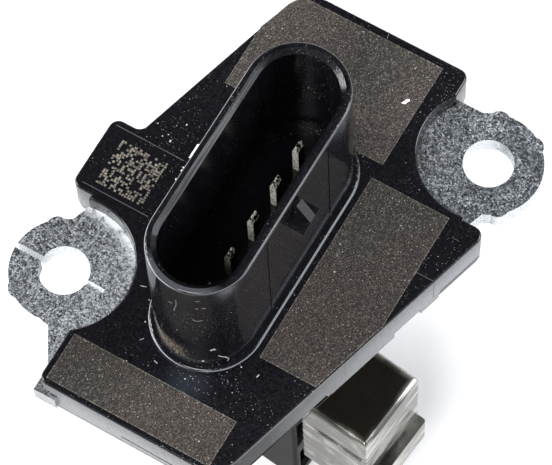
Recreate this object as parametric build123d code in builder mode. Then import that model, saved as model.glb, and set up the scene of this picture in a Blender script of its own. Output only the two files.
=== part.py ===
"""Plug-in mass airflow sensor: moulded flange with connector, steel plate, probe and shield box.

Frame: the origin is midway between the two bolt holes, in the plane of the ears' underside.
+X runs across the connector, +Y along it and +Z up, away from the duct. Millimetres.
The probe below the flange has its own directions: chord, along the air flow, and thickness.
"""

import os
from math import cos, radians, sin, tan

from build123d import *

# Bolt holes and steel mounting plate
BOLT_X = 17.8
BOLT_Y = 17.9
BOLT_HOLE_RADIUS = 3.0
EAR_RADIUS = 6.45
EAR_LUG_RADIUS = 1.3
EAR_LUG_REACH = 0.38
EAR_LUG_ANGLES = (-50, 52, 106)
PLATE_BOTTOM = 0.0
PLATE_THICKNESS = 2.5
PLATE_RIM = 1.8
PLATE_CORNER_OVERHANG = 0.45
PLATE_CORNER_WIDTH = 2.8
PLATE_CORNER_LENGTH = 7.0
PLATE_WINDOW_LENGTH = 24.0
PLATE_WINDOW_WIDTH = 13.0
PLATE_WINDOW_RADIUS = 3.0
WEB_NOTCH_ANGLE = 116.5
WEB_NOTCH_DEPTH = 0.45
WEB_STEP_Y = 23.2
WEB_EDGE_ANGLE = 75.0
WEB_EDGE_END_Y = -28.9
SLIT_WIDTH = 0.6
SLIT_GROOVE_LENGTH = 2.3
SLIT_GROOVE_DEPTH = 0.25

# Flange moulding
SEAT_Z = -1.1
FLANGE_THICKNESS = 5.1
SLANT_ANGLE = 16.0
RIGHT_EDGE_X = 19.8
LEFT_EDGE_X = -18.7
FLANGE_BACK_Y = 25.8
FLANGE_LENGTH = 57.3
RIGHT_WALL_X = 10.9
LEFT_WALL_X = -12.75
HORN_Y = 9.3
PAD_X = -22.1
PAD_LOW_Y = -9.1
PAD_HIGH_Y = 0.6
EAR_RECESS_RADIUS = 8.3
RECESS_STEP = 1.5
LONG_CORNER_RADIUS = 4.2
SHORT_CORNER_RADIUS = 1.2
FLANGE_EDGE_ROUND = 0.3
CODE_PAD_HEIGHT = 0.15
CODE_PAD_LENGTH = 9.8
CODE_PAD_WIDTH = 8.2
CODE_PAD_INSET = 0.5
FOOT_WIDTH = 1.1
FRONT_FOOT = (-15.0, -5.0)
BACK_FOOT = (-0.9, 1.8)
PEEK_GAP = 0.6

# Connector shroud
SHROUD_X = 0.2
SHROUD_Y = -5.25
SHROUD_HEIGHT = 22.2
SHROUD_RADIUS = 6.1
SHROUD_STRAIGHT = 20.6
SHROUD_WALL = 1.3
SHROUD_LEAD_IN = 0.6
SHROUD_RIM_ROUND = 0.35
SOCKET_FLOOR_RISE = 2.0
COLLAR_WIDTH = 0.75
COLLAR_HEIGHT = 1.0
COLLAR_ROUND = 0.4
ISLAND_HALF_WIDTH = 3.4
ISLAND_HEIGHT = 0.8
LATCH_Y = -6.1
LATCH_DROP = 1.1
LATCH_HEIGHT = 3.3
LATCH_WIDTH = 3.3
LATCH_REACH = 2.2
LATCH_LAND = 0.7
LATCH_RIB_Y = -5.85
LATCH_RIB_WIDTH = 1.1
LATCH_RIB_TOP = 0.5
SHROUD_RIB_WIDTH = 0.25
SHROUD_RIB_HEIGHT = 0.08
SHROUD_RIB_Y = (-11.7, 1.4)

# Terminals: a blade in the socket, a leg in the flange and a strip down the probe
PIN_PITCH = 5.0
PIN_COUNT = 5
PIN_LENGTH = 6.7
PIN_WIDTH = 1.3
PIN_THICKNESS = 0.8
PIN_CHISEL = 1.05
PIN_RIDGE = 0.16
LEG_COVER = 1.9
STRIP_WIDTH = 1.2
STRIP_THICKNESS = 0.6
STRIP_PITCH = 2.3
STRIP_LAP = 2.2

# Probe: neck, base plate and stem
PROBE_TURN = -6.0
PROBE_SHIFT = 1.35
NECK_FRONT = 17.1
NECK_BACK = -17.2
NECK_THICKNESS = 14.6
NECK_DEPTH = 4.8
NECK_RADIUS = 2.6
SEAL_GROOVE_DROP = 1.1
SEAL_GROOVE_HEIGHT = 2.6
SEAL_GROOVE_DEPTH = 1.6
SEAL_RADIUS = 1.15
BASE_GROOVE_HEIGHT = 0.3
BASE_GROOVE_DEPTH = 0.8
BASE_INSET = 0.15
BASE_CUT_DEPTH = 3.2
BASE_CUT = (-18.8, 2.1)
STEM_FRONT = 4.95
STEM_BACK = -16.2
STEM_THICKNESS = 13.0
PROBE_LENGTH = 68.0
STEM_WALL = 1.5
STEM_FRONT_RADIUS = 0.6
STEM_BACK_RADIUS = 2.4
CHAMBER_BACK = -7.4
CHAMBER_FLOOR = 2.4
CHAMBER_DEPTH = 9.0
SHAFT_WIDTH = 8.0
RESIN_DEPTH = 8.0
COVER_THICKNESS = 1.5
COVER_LAP = 0.9
COVER_CLEARANCE = 0.1
AIR_WINDOW_BACK = -14.9
AIR_WINDOW_WIDTH = 6.0
AIR_WINDOW_RISE = 15.0
AIR_WINDOW_HEIGHT = 12.0
AIR_WINDOW_RADIUS = 0.6
DUCT_FLOOR = 2.0
DUCT_HEIGHT = 6.0
DUCT_FLARE = 0.6

# Shield box beside the stem
SHIELD_GAP = 0.5
SHIELD_LENGTH = 10.2
SHIELD_WIDTH = 11.5
LID_HEIGHT = 13.4
TRAY_HEIGHT = 5.4
SHIELD_LEDGE = 1.25
SHIELD_RISE = 9.4
SHIELD_SHEET = 0.4
SHIELD_BEND = 0.75
SHIELD_RELIEF = 0.5
SHIELD_BEAD_DROP = 6.0
SHIELD_BEAD = 0.2
SHIELD_SEAT_WIDTH = 8.4

# Circuit board and the parts on it
BOARD_THICKNESS = 1.0
BOARD_DROP = 2.3
BOARD_FOOT_GAP = 0.3
BOARD_FRONT_GAP = 0.6
BOARD_SLOT_CLEARANCE = 0.25
CHIP_SIZE = 6.0
CHIP_HEIGHT = 1.0
CHIP_BEVEL = 0.2
CAPACITOR_LENGTH = 2.0
CAPACITOR_WIDTH = 1.25
CAPACITOR_HEIGHT = 0.9
CAPACITOR_PITCH = 2.2
CAPACITOR_COUNT = 4
CAPACITOR_DROP = 4.0
CARRIER_WIDTH = 4.0
CARRIER_THICKNESS = 0.6
CARRIER_LAP = 2.4
CARRIER_REACH = 4.6
ELEMENT_LENGTH = 2.6
ELEMENT_WIDTH = 2.4
ELEMENT_THICKNESS = 0.4
CARRIER_CLEARANCE = 0.1
BEAD_RADIUS = 1.3
LEAD_RADIUS = 0.3
LEAD_PITCH = 1.6
LEAD_LAP = 1.0

# Places that follow from the sizes above
PLATE_TOP = PLATE_BOTTOM + PLATE_THICKNESS
FLANGE_TOP = PLATE_BOTTOM + FLANGE_THICKNESS
FLANGE_FRONT_Y = FLANGE_BACK_Y - FLANGE_LENGTH
SHROUD_TOP = FLANGE_TOP + SHROUD_HEIGHT
SOCKET_FLOOR = FLANGE_TOP + SOCKET_FLOOR_RISE
LATCH_TOP = SHROUD_TOP - LATCH_DROP
LATCH_LEDGE = LATCH_TOP - LATCH_HEIGHT
PIN_TIP = SOCKET_FLOOR + PIN_LENGTH
LEG_BOTTOM = FLANGE_TOP - LEG_COVER
NECK_BOTTOM = SEAT_Z - NECK_DEPTH
SEAL_GROOVE_TOP = SEAT_Z - SEAL_GROOVE_DROP
STEM_BOTTOM = SEAT_Z - PROBE_LENGTH
RESIN_BOTTOM = SEAT_Z - RESIN_DEPTH
CHAMBER_TOP = SEAT_Z - CHAMBER_DEPTH
DUCT_BOTTOM = STEM_BOTTOM + DUCT_FLOOR
DUCT_TOP = DUCT_BOTTOM + DUCT_HEIGHT
CHAMBER_BOTTOM = DUCT_TOP + CHAMBER_FLOOR
AIR_WINDOW_BOTTOM = STEM_BOTTOM + AIR_WINDOW_RISE
SHIELD_BOTTOM = STEM_BOTTOM + SHIELD_RISE
SHIELD_LEDGE_Z = SHIELD_BOTTOM + TRAY_HEIGHT
SHIELD_TOP = SHIELD_LEDGE_Z + LID_HEIGHT
SHIELD_BEAD_Z = SHIELD_TOP - SHIELD_BEAD_DROP
BOARD_TOP = SHIELD_TOP - BOARD_DROP
BOARD_BOTTOM = SHIELD_LEDGE_Z + BOARD_FOOT_GAP
STRIP_END = BOARD_TOP - STRIP_LAP
HOLES = ((BOLT_X, BOLT_Y), (-BOLT_X, -BOLT_Y))
SLANT = tan(radians(SLANT_ANGLE))
COVER_FACE = STEM_THICKNESS / 2 - COVER_THICKNESS
CHAMBER_FRONT = STEM_FRONT - STEM_WALL
SHAFT_MIDDLE = (CHAMBER_FRONT + CHAMBER_BACK) / 2
SHAFT_LENGTH = CHAMBER_FRONT - CHAMBER_BACK
SHIELD_BACK = STEM_FRONT + SHIELD_GAP
SHIELD_FRONT = SHIELD_BACK + SHIELD_LENGTH
BOARD_FRONT = SHIELD_FRONT - SHIELD_SHEET - BOARD_FRONT_GAP
BOARD_HALF = BOARD_THICKNESS / 2
PIN_Y = [SHROUD_Y + PIN_PITCH * ((PIN_COUNT - 1) / 2 - i) for i in range(PIN_COUNT)]
STRIP_CHORD = [SHAFT_MIDDLE + STRIP_PITCH * ((PIN_COUNT - 1) / 2 - i) for i in range(PIN_COUNT)]

CHORD = Vector(cos(radians(PROBE_TURN)), sin(radians(PROBE_TURN)), 0)
ACROSS = Vector(-CHORD.Y, CHORD.X, 0)
PROBE_ORIGIN = ACROSS * PROBE_SHIFT
UP = Vector(0, 0, 1)


def probe_level(height):
    """Plane across the probe: local x is the chord and local y the thickness."""
    return Plane(PROBE_ORIGIN + UP * height, x_dir=CHORD, z_dir=UP)


def probe_side(across):
    """Plane along the probe's side: local x is the chord, local y is up, facing -thickness."""
    return Plane(PROBE_ORIGIN + ACROSS * across, x_dir=CHORD, z_dir=ACROSS * -1)


def probe_front(chord):
    """Plane across the flow: local x is the thickness, local y is up, facing +chord."""
    return Plane(PROBE_ORIGIN + CHORD * chord, x_dir=ACROSS, z_dir=CHORD)


def probe_point(chord, across):
    """Flange-frame X and Y of a point given along the chord and across it."""
    return PROBE_ORIGIN + CHORD * chord + ACROSS * across


def right_edge(y):
    """X of the flange's right slanted edge."""
    return RIGHT_EDGE_X + SLANT * y


def left_edge(y):
    """X of the flange's left slanted edge."""
    return LEFT_EDGE_X + SLANT * y


def span(low, high):
    """Middle and length of a stretch."""
    return (low + high) / 2, high - low


# ---------------------------------------------------------------- flange outline
# Each corner has its radius; None leaves it sharp because an ear recess cuts it away.
FLANGE_CORNERS = [
    (LEFT_WALL_X, FLANGE_FRONT_Y, SHORT_CORNER_RADIUS),
    (right_edge(FLANGE_FRONT_Y), FLANGE_FRONT_Y, LONG_CORNER_RADIUS),
    (right_edge(HORN_Y), HORN_Y, SHORT_CORNER_RADIUS),
    (BOLT_X + RECESS_STEP, HORN_Y, None),
    (BOLT_X + RECESS_STEP, BOLT_Y - EAR_RADIUS, None),
    (RIGHT_WALL_X, BOLT_Y, None),
    (RIGHT_WALL_X, FLANGE_BACK_Y, SHORT_CORNER_RADIUS),
    (left_edge(FLANGE_BACK_Y), FLANGE_BACK_Y, LONG_CORNER_RADIUS),
    (left_edge(PAD_HIGH_Y), PAD_HIGH_Y, SHORT_CORNER_RADIUS),
    (PAD_X, PAD_HIGH_Y, SHORT_CORNER_RADIUS),
    (PAD_X, PAD_LOW_Y, SHORT_CORNER_RADIUS),
    (-BOLT_X - RECESS_STEP, PAD_LOW_Y, None),
    (-BOLT_X - RECESS_STEP, EAR_RADIUS - BOLT_Y, None),
    (LEFT_WALL_X, -BOLT_Y, None),
]

with BuildSketch() as flange_blank:
    with BuildLine():
        Polyline(*[(x, y) for x, y, radius in FLANGE_CORNERS], close=True)
    make_face()
    for x, y, radius in FLANGE_CORNERS:
        if radius:
            fillet(flange_blank.vertices().sort_by_distance((x, y, 0))[0], radius=radius)

with BuildSketch() as flange_outline:
    add(flange_blank.sketch)
    with Locations(*HOLES):
        Circle(EAR_RECESS_RADIUS, mode=Mode.SUBTRACT)

# ---------------------------------------------------------------- steel mounting plate


def ear_place(radius, angle):
    """X and Y of a place on an ear, from the hole's centre."""
    return radius * cos(radians(angle)), radius * sin(radians(angle))


NOTCH = ear_place(EAR_RADIUS - WEB_NOTCH_DEPTH, WEB_NOTCH_ANGLE)
web_edge = ear_place(EAR_RADIUS, WEB_EDGE_ANGLE)
PLATE_CORNER_X = LEFT_WALL_X - PLATE_CORNER_OVERHANG
PLATE_CORNER_Y = FLANGE_FRONT_Y - PLATE_CORNER_OVERHANG

with BuildPart() as mounting_plate:
    with BuildSketch(Plane.XY.offset(PLATE_BOTTOM)) as plate_outline:
        add(flange_blank.sketch)
        offset(amount=-PLATE_RIM, kind=Kind.INTERSECTION)
        # webs that join the ears to the plate
        with BuildLine():
            Polyline(
                (BOLT_X - NOTCH[0], BOLT_Y - NOTCH[1]),
                (BOLT_X + RECESS_STEP, HORN_Y),
                (BOLT_X, HORN_Y - PLATE_RIM),
                (RIGHT_WALL_X - PLATE_RIM, HORN_Y - PLATE_RIM),
                (RIGHT_WALL_X - PLATE_RIM, WEB_STEP_Y),
                (BOLT_X + NOTCH[0], WEB_STEP_Y),
                (BOLT_X, BOLT_Y),
                close=True,
            )
        make_face()
        with BuildLine():
            Polyline(
                (NOTCH[0] - BOLT_X, NOTCH[1] - BOLT_Y),
                (-BOLT_X - RECESS_STEP, PAD_LOW_Y),
                (-BOLT_X, PAD_LOW_Y + PLATE_RIM),
                (-BOLT_X + EAR_RECESS_RADIUS + PLATE_RIM, PAD_LOW_Y + PLATE_RIM),
                (-BOLT_X + EAR_RECESS_RADIUS + PLATE_RIM, -BOLT_Y - EAR_RECESS_RADIUS),
                (PLATE_CORNER_X, WEB_EDGE_END_Y),
                (web_edge[0] - BOLT_X, -web_edge[1] - BOLT_Y),
                (-BOLT_X, -BOLT_Y),
                close=True,
            )
        make_face()
        with Locations((PLATE_CORNER_X, PLATE_CORNER_Y)):
            Rectangle(PLATE_CORNER_WIDTH, PLATE_CORNER_LENGTH, align=(Align.MIN, Align.MIN))
        with Locations(*HOLES):
            Circle(EAR_RADIUS)
        lug_path = EAR_RADIUS + EAR_LUG_REACH - EAR_LUG_RADIUS
        for side, (hole_x, hole_y) in zip((0, 180), HOLES):
            for angle in EAR_LUG_ANGLES:
                lug_x, lug_y = ear_place(lug_path, angle + side)
                with Locations((hole_x + lug_x, hole_y + lug_y)):
                    Circle(EAR_LUG_RADIUS)
        with Locations(*HOLES):
            Circle(BOLT_HOLE_RADIUS, mode=Mode.SUBTRACT)
        # slit from the left ear's rim into its hole
        with Locations((-BOLT_X, -BOLT_Y)):
            Rectangle(2 * EAR_RADIUS, SLIT_WIDTH, align=(Align.MAX, Align.CENTER), mode=Mode.SUBTRACT)
    extrude(amount=PLATE_THICKNESS)
    # window for the terminals
    with BuildSketch(probe_level(PLATE_BOTTOM)):
        RectangleRounded(PLATE_WINDOW_LENGTH, PLATE_WINDOW_WIDTH, PLATE_WINDOW_RADIUS)
    extrude(amount=PLATE_THICKNESS, mode=Mode.SUBTRACT)
    # coined groove that carries on across the left ear
    with BuildSketch(Plane.XY.offset(PLATE_TOP)):
        with Locations((-BOLT_X, -BOLT_Y)):
            Rectangle(BOLT_HOLE_RADIUS + SLIT_GROOVE_LENGTH, SLIT_WIDTH, align=(Align.MIN, Align.CENTER))
    extrude(amount=-SLIT_GROOVE_DEPTH, mode=Mode.SUBTRACT)


# ---------------------------------------------------------------- terminals
def make_terminal(pin_y, strip_chord):
    """One bent terminal: blade up into the socket, flat leg, strip down to the board."""
    strip_middle = BOARD_HALF + STRIP_THICKNESS / 2
    foot = probe_point(strip_chord, strip_middle)
    low_x, high_x = sorted((SHROUD_X, foot.X))
    low_y, high_y = sorted((pin_y, foot.Y))
    with BuildPart() as terminal:
        # blade with a chisel tip
        with BuildSketch(Plane.XZ.offset(-pin_y)):
            with BuildLine():
                Polyline(
                    (SHROUD_X - PIN_THICKNESS / 2, LEG_BOTTOM),
                    (SHROUD_X - PIN_THICKNESS / 2, PIN_TIP - PIN_CHISEL),
                    (SHROUD_X - PIN_RIDGE / 2, PIN_TIP),
                    (SHROUD_X + PIN_RIDGE / 2, PIN_TIP),
                    (SHROUD_X + PIN_THICKNESS / 2, PIN_TIP - PIN_CHISEL),
                    (SHROUD_X + PIN_THICKNESS / 2, LEG_BOTTOM),
                    close=True,
                )
            make_face()
        extrude(amount=PIN_WIDTH / 2, both=True)
        with BuildSketch(Plane.XY.offset(LEG_BOTTOM)):
            with Locations(((low_x + high_x) / 2, pin_y)):
                Rectangle(high_x - low_x + STRIP_WIDTH, STRIP_WIDTH)
            with Locations((foot.X, (low_y + high_y) / 2)):
                Rectangle(STRIP_WIDTH, high_y - low_y + STRIP_WIDTH)
        extrude(amount=STRIP_THICKNESS)
        with BuildSketch(probe_level(STRIP_END)):
            with Locations((strip_chord, strip_middle)):
                Rectangle(STRIP_WIDTH, STRIP_THICKNESS)
        extrude(amount=LEG_BOTTOM + STRIP_THICKNESS - STRIP_END)
    return terminal


terminals = [make_terminal(pin_y, chord) for pin_y, chord in zip(PIN_Y, STRIP_CHORD)]

# ---------------------------------------------------------------- flange and connector moulding
with BuildPart() as flange_housing:
    with BuildSketch(Plane.XY.offset(PLATE_BOTTOM)):
        add(flange_outline.sketch)
    extrude(amount=FLANGE_TOP - PLATE_BOTTOM)
    fillet(flange_housing.faces().sort_by(Axis.Z)[-1].edges(), radius=FLANGE_EDGE_ROUND)

    # feet under the slanted edges, down to the mounting plane
    with BuildSketch(Plane.XY.offset(SEAT_Z)):
        for low, high in (FRONT_FOOT, BACK_FOOT):
            for edge, turn in ((right_edge, 1), (left_edge, -1)):
                with BuildLine():
                    Polyline(
                        (edge(turn * low), turn * low),
                        (edge(turn * high), turn * high),
                        (edge(turn * high) - turn * FOOT_WIDTH, turn * high),
                        (edge(turn * low) - turn * FOOT_WIDTH, turn * low),
                        close=True,
                    )
                make_face()
    extrude(amount=PLATE_BOTTOM - SEAT_Z)

    # raised pad for the code square
    with BuildSketch(Plane.XY.offset(FLANGE_TOP)):
        with Locations((PAD_X + CODE_PAD_INSET, (PAD_LOW_Y + PAD_HIGH_Y) / 2)):
            Rectangle(CODE_PAD_LENGTH, CODE_PAD_WIDTH, align=(Align.MIN, Align.CENTER))
    extrude(amount=CODE_PAD_HEIGHT)

    # collar at the foot of the shroud, then the shroud
    with BuildSketch(Plane.XY.offset(FLANGE_TOP)):
        with Locations((SHROUD_X, SHROUD_Y)):
            SlotCenterToCenter(SHROUD_STRAIGHT, 2 * (SHROUD_RADIUS + COLLAR_WIDTH), rotation=90)
    extrude(amount=COLLAR_HEIGHT)
    fillet(flange_housing.faces().sort_by(Axis.Z)[-1].outer_wire().edges(), radius=COLLAR_ROUND)
    with BuildSketch(Plane.XY.offset(FLANGE_TOP)):
        with Locations((SHROUD_X, SHROUD_Y)):
            SlotCenterToCenter(SHROUD_STRAIGHT, 2 * SHROUD_RADIUS, rotation=90)
    extrude(amount=SHROUD_TOP - FLANGE_TOP)
    fillet(flange_housing.faces().sort_by(Axis.Z)[-1].edges(), radius=SHROUD_RIM_ROUND)
    with BuildSketch(Plane.XY.offset(SOCKET_FLOOR)):
        with Locations((SHROUD_X, SHROUD_Y)):
            SlotCenterToCenter(SHROUD_STRAIGHT, 2 * (SHROUD_RADIUS - SHROUD_WALL), rotation=90)
    extrude(amount=SHROUD_TOP - SOCKET_FLOOR, mode=Mode.SUBTRACT)
    chamfer(
        flange_housing.faces().sort_by(Axis.Z)[-1].inner_wires()[0].edges(),
        length=SHROUD_LEAD_IN,
    )

    # island round the feet of the blades
    with BuildSketch(Plane.XY.offset(SOCKET_FLOOR)):
        with Locations((SHROUD_X, SHROUD_Y)):
            SlotCenterToCenter(SHROUD_STRAIGHT, 2 * ISLAND_HALF_WIDTH, rotation=90)
    extrude(amount=ISLAND_HEIGHT)

    # latch: a ledge with a narrow ramp rib above it
    latch_wall = SHROUD_X + SHROUD_RADIUS - SHROUD_WALL / 2
    latch_face = SHROUD_X + SHROUD_RADIUS + LATCH_REACH
    with BuildSketch(Plane.XY.offset(LATCH_LEDGE)):
        with Locations((latch_wall, LATCH_Y)):
            Rectangle(latch_face - latch_wall, LATCH_WIDTH, align=(Align.MIN, Align.CENTER))
    extrude(amount=LATCH_LAND)
    with BuildSketch(Plane.XZ.offset(-LATCH_RIB_Y)):
        with BuildLine():
            Polyline(
                (latch_wall, LATCH_LEDGE),
                (latch_wall, LATCH_TOP),
                (SHROUD_X + SHROUD_RADIUS + LATCH_RIB_TOP, LATCH_TOP),
                (latch_face, LATCH_LEDGE + LATCH_LAND),
                (latch_face, LATCH_LEDGE),
                close=True,
            )
        make_face()
    extrude(amount=LATCH_RIB_WIDTH / 2, both=True)

    # two fine ribs on the latch side of the shroud
    with BuildSketch(Plane.XY.offset(FLANGE_TOP)):
        with Locations(*[(SHROUD_X + SHROUD_RADIUS, y) for y in SHROUD_RIB_Y]):
            Rectangle(2 * SHROUD_RIB_HEIGHT, SHROUD_RIB_WIDTH)
    extrude(amount=SHROUD_TOP - SHROUD_WALL - FLANGE_TOP)

    # pocket of the steel plate and the notch over its corner, then the terminals
    add(mounting_plate.part, mode=Mode.SUBTRACT)
    with BuildSketch(Plane.XY.offset(PLATE_TOP)):
        with Locations((PLATE_CORNER_X, PLATE_CORNER_Y)):
            Rectangle(
                PLATE_CORNER_WIDTH,
                2 * PLATE_CORNER_OVERHANG,
                align=(Align.MIN, Align.MIN),
            )
    extrude(amount=PEEK_GAP, mode=Mode.SUBTRACT)
    for terminal in terminals:
        add(terminal.part, mode=Mode.SUBTRACT)

# ---------------------------------------------------------------- probe moulding
NECK_MIDDLE, NECK_LENGTH = span(NECK_BACK, NECK_FRONT)
STEM_MIDDLE, STEM_LENGTH = span(STEM_BACK, STEM_FRONT)
COVER_FRONT = CHAMBER_FRONT + COVER_LAP
UPPER_COVER_BACK = CHAMBER_BACK - COVER_LAP
LOWER_COVER_BACK = STEM_BACK + STEM_WALL
COVER_TOP = CHAMBER_TOP + COVER_LAP
COVER_STEP = DUCT_TOP + COVER_LAP
COVER_BOTTOM = DUCT_BOTTOM - COVER_LAP


def cover_outline(grow):
    """Stepped outline of the probe cover, grown all round, on the probe's side plane."""
    upper_x, upper_length = span(UPPER_COVER_BACK - grow, COVER_FRONT + grow)
    upper_z, upper_height = span(COVER_STEP - grow, COVER_TOP + grow)
    lower_x, lower_length = span(LOWER_COVER_BACK - grow, COVER_FRONT + grow)
    lower_z, lower_height = span(COVER_BOTTOM - grow, COVER_STEP + grow)
    with Locations((upper_x, upper_z)):
        Rectangle(upper_length, upper_height)
    with Locations((lower_x, lower_z)):
        Rectangle(lower_length, lower_height)


with BuildPart() as probe_body:
    # base plate under the flange, with a groove left open at its upper edge
    for level, inset, height in (
        (SEAT_Z, BASE_INSET, PLATE_BOTTOM - BASE_GROOVE_HEIGHT - SEAT_Z),
        (PLATE_BOTTOM - BASE_GROOVE_HEIGHT, BASE_INSET + BASE_GROOVE_DEPTH, BASE_GROOVE_HEIGHT),
    ):
        with BuildSketch(Plane.XY.offset(level)):
            add(flange_outline.sketch)
            offset(amount=-inset, kind=Kind.INTERSECTION)
            for edge, turn in ((right_edge, 1), (left_edge, -1)):
                with BuildLine():
                    Polyline(
                        (edge(turn * BASE_CUT[0]) + turn * BASE_CUT_DEPTH, turn * BASE_CUT[0]),
                        (edge(turn * BASE_CUT[1]) + turn * BASE_CUT_DEPTH, turn * BASE_CUT[1]),
                        (edge(turn * BASE_CUT[1]) - turn * BASE_CUT_DEPTH, turn * BASE_CUT[1]),
                        (edge(turn * BASE_CUT[0]) - turn * BASE_CUT_DEPTH, turn * BASE_CUT[0]),
                        close=True,
                    )
                make_face(mode=Mode.SUBTRACT)
        extrude(amount=height)

    # neck with its seal groove
    with BuildSketch(probe_level(NECK_BOTTOM)):
        with Locations((NECK_MIDDLE, 0)):
            RectangleRounded(NECK_LENGTH, NECK_THICKNESS, NECK_RADIUS)
    extrude(amount=SEAT_Z - NECK_BOTTOM)
    with BuildSketch(probe_level(SEAL_GROOVE_TOP - SEAL_GROOVE_HEIGHT)):
        with Locations((NECK_MIDDLE, 0)):
            RectangleRounded(
                NECK_LENGTH + 2 * SEAL_GROOVE_DEPTH,
                NECK_THICKNESS + 2 * SEAL_GROOVE_DEPTH,
                NECK_RADIUS,
            )
            RectangleRounded(
                NECK_LENGTH - 2 * SEAL_GROOVE_DEPTH,
                NECK_THICKNESS - 2 * SEAL_GROOVE_DEPTH,
                NECK_RADIUS - SEAL_GROOVE_DEPTH,
                mode=Mode.SUBTRACT,
            )
    extrude(amount=SEAL_GROOVE_HEIGHT, mode=Mode.SUBTRACT)

    # stem
    with BuildSketch(probe_level(STEM_BOTTOM)) as stem_section:
        with Locations((STEM_MIDDLE, 0)):
            Rectangle(STEM_LENGTH, STEM_THICKNESS)
        fillet(stem_section.vertices().sort_by(Axis.X)[:2], radius=STEM_BACK_RADIUS)
        fillet(stem_section.vertices().sort_by(Axis.X)[-2:], radius=STEM_FRONT_RADIUS)
    extrude(amount=NECK_BOTTOM - STEM_BOTTOM)

    # seat on the front of the stem that the shield box stands against
    seat_z, seat_height = span(SHIELD_LEDGE_Z, SHIELD_TOP)
    with BuildSketch(probe_front(CHAMBER_FRONT)):
        with Locations((0, seat_z)):
            Rectangle(SHIELD_SEAT_WIDTH, seat_height - 2 * SHIELD_BEND)
    extrude(amount=SHIELD_BACK - CHAMBER_FRONT)

    # shaft through the neck and chamber behind the cover
    with BuildSketch(probe_level(CHAMBER_TOP)):
        with Locations((SHAFT_MIDDLE, 0)):
            Rectangle(SHAFT_LENGTH, SHAFT_WIDTH)
    extrude(amount=PLATE_BOTTOM - CHAMBER_TOP, mode=Mode.SUBTRACT)
    chamber_z, chamber_height = span(CHAMBER_BOTTOM, CHAMBER_TOP)
    with BuildSketch(probe_side(COVER_FACE)):
        with Locations((SHAFT_MIDDLE, chamber_z)):
            Rectangle(SHAFT_LENGTH, chamber_height)
    extrude(amount=2 * COVER_FACE, mode=Mode.SUBTRACT)
    with BuildSketch(probe_side(STEM_THICKNESS / 2)):
        cover_outline(COVER_CLEARANCE)
    extrude(amount=COVER_THICKNESS, mode=Mode.SUBTRACT)

    # bypass duct from the front of the stem to its back, with a flared mouth
    duct_z = DUCT_BOTTOM + DUCT_HEIGHT / 2
    with BuildSketch(probe_front(STEM_BACK)):
        with Locations((0, duct_z)):
            Rectangle(2 * COVER_FACE, DUCT_HEIGHT)
    extrude(amount=STEM_LENGTH, mode=Mode.SUBTRACT)
    with BuildSketch(probe_front(STEM_FRONT)):
        with Locations((0, duct_z)):
            Rectangle(2 * (COVER_FACE + DUCT_FLARE), DUCT_HEIGHT + 2 * DUCT_FLARE)
    extrude(amount=-DUCT_FLARE, taper=45, mode=Mode.SUBTRACT)

    # window across the stem for the air temperature bead
    window_x = AIR_WINDOW_BACK + AIR_WINDOW_WIDTH / 2
    window_z = AIR_WINDOW_BOTTOM + AIR_WINDOW_HEIGHT / 2
    with BuildSketch(probe_side(STEM_THICKNESS / 2)):
        with Locations((window_x, window_z)):
            RectangleRounded(AIR_WINDOW_WIDTH, AIR_WINDOW_HEIGHT, AIR_WINDOW_RADIUS)
    extrude(amount=STEM_THICKNESS, mode=Mode.SUBTRACT)

    # slots for the circuit board and the element carrier, holes for the bead's leads
    slot_z, slot_height = span(SHIELD_LEDGE_Z, BOARD_TOP + BOARD_SLOT_CLEARANCE)
    slot_width = BOARD_THICKNESS + 2 * STRIP_THICKNESS
    with BuildSketch(probe_front(CHAMBER_FRONT)):
        with Locations((0, slot_z)):
            Rectangle(slot_width, slot_height)
    extrude(amount=SHIELD_BACK - CHAMBER_FRONT, mode=Mode.SUBTRACT)
    with BuildSketch(probe_level(DUCT_TOP)):
        with Locations((SHAFT_MIDDLE, -BOARD_HALF - CARRIER_THICKNESS / 2)):
            Rectangle(
                CARRIER_WIDTH + 2 * CARRIER_CLEARANCE,
                CARRIER_THICKNESS + 2 * CARRIER_CLEARANCE,
            )
    extrude(amount=CHAMBER_BOTTOM - DUCT_TOP, mode=Mode.SUBTRACT)
    lead_across = BOARD_HALF + LEAD_RADIUS
    lead_heights = (window_z - LEAD_PITCH / 2, window_z + LEAD_PITCH / 2)
    with BuildSketch(probe_front(CHAMBER_BACK)):
        with Locations(*[(lead_across, height) for height in lead_heights]):
            Circle(LEAD_RADIUS)
    extrude(amount=AIR_WINDOW_BACK + AIR_WINDOW_WIDTH - CHAMBER_BACK, mode=Mode.SUBTRACT)

with BuildPart() as probe_cover:
    with BuildSketch(probe_side(STEM_THICKNESS / 2)):
        cover_outline(0)
    extrude(amount=COVER_THICKNESS)

# ---------------------------------------------------------------- seal round the neck
SEAL_OFFSET = SEAL_RADIUS - SEAL_GROOVE_DEPTH
with BuildPart() as sealing_ring:
    with BuildSketch(probe_level(SEAL_GROOVE_TOP - SEAL_GROOVE_HEIGHT / 2)) as seal_plan:
        with Locations((NECK_MIDDLE, 0)):
            RectangleRounded(
                NECK_LENGTH + 2 * SEAL_OFFSET,
                NECK_THICKNESS + 2 * SEAL_OFFSET,
                NECK_RADIUS + SEAL_OFFSET,
            )
    seal_path = seal_plan.sketch.faces()[0].outer_wire()
    seal_start = Plane(origin=seal_path @ 0, x_dir=UP, z_dir=seal_path % 0)
    with BuildSketch(seal_start) as seal_section:
        Circle(SEAL_RADIUS)
    sweep(sections=seal_section.sketch, path=seal_path, mode=Mode.REPLACE)

with BuildPart() as sealing_resin:
    with BuildSketch(probe_level(RESIN_BOTTOM)):
        with Locations((SHAFT_MIDDLE, 0)):
            Rectangle(SHAFT_LENGTH, SHAFT_WIDTH)
    extrude(amount=PLATE_BOTTOM - RESIN_BOTTOM)
    for terminal in terminals:
        add(terminal.part, mode=Mode.SUBTRACT)

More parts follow.
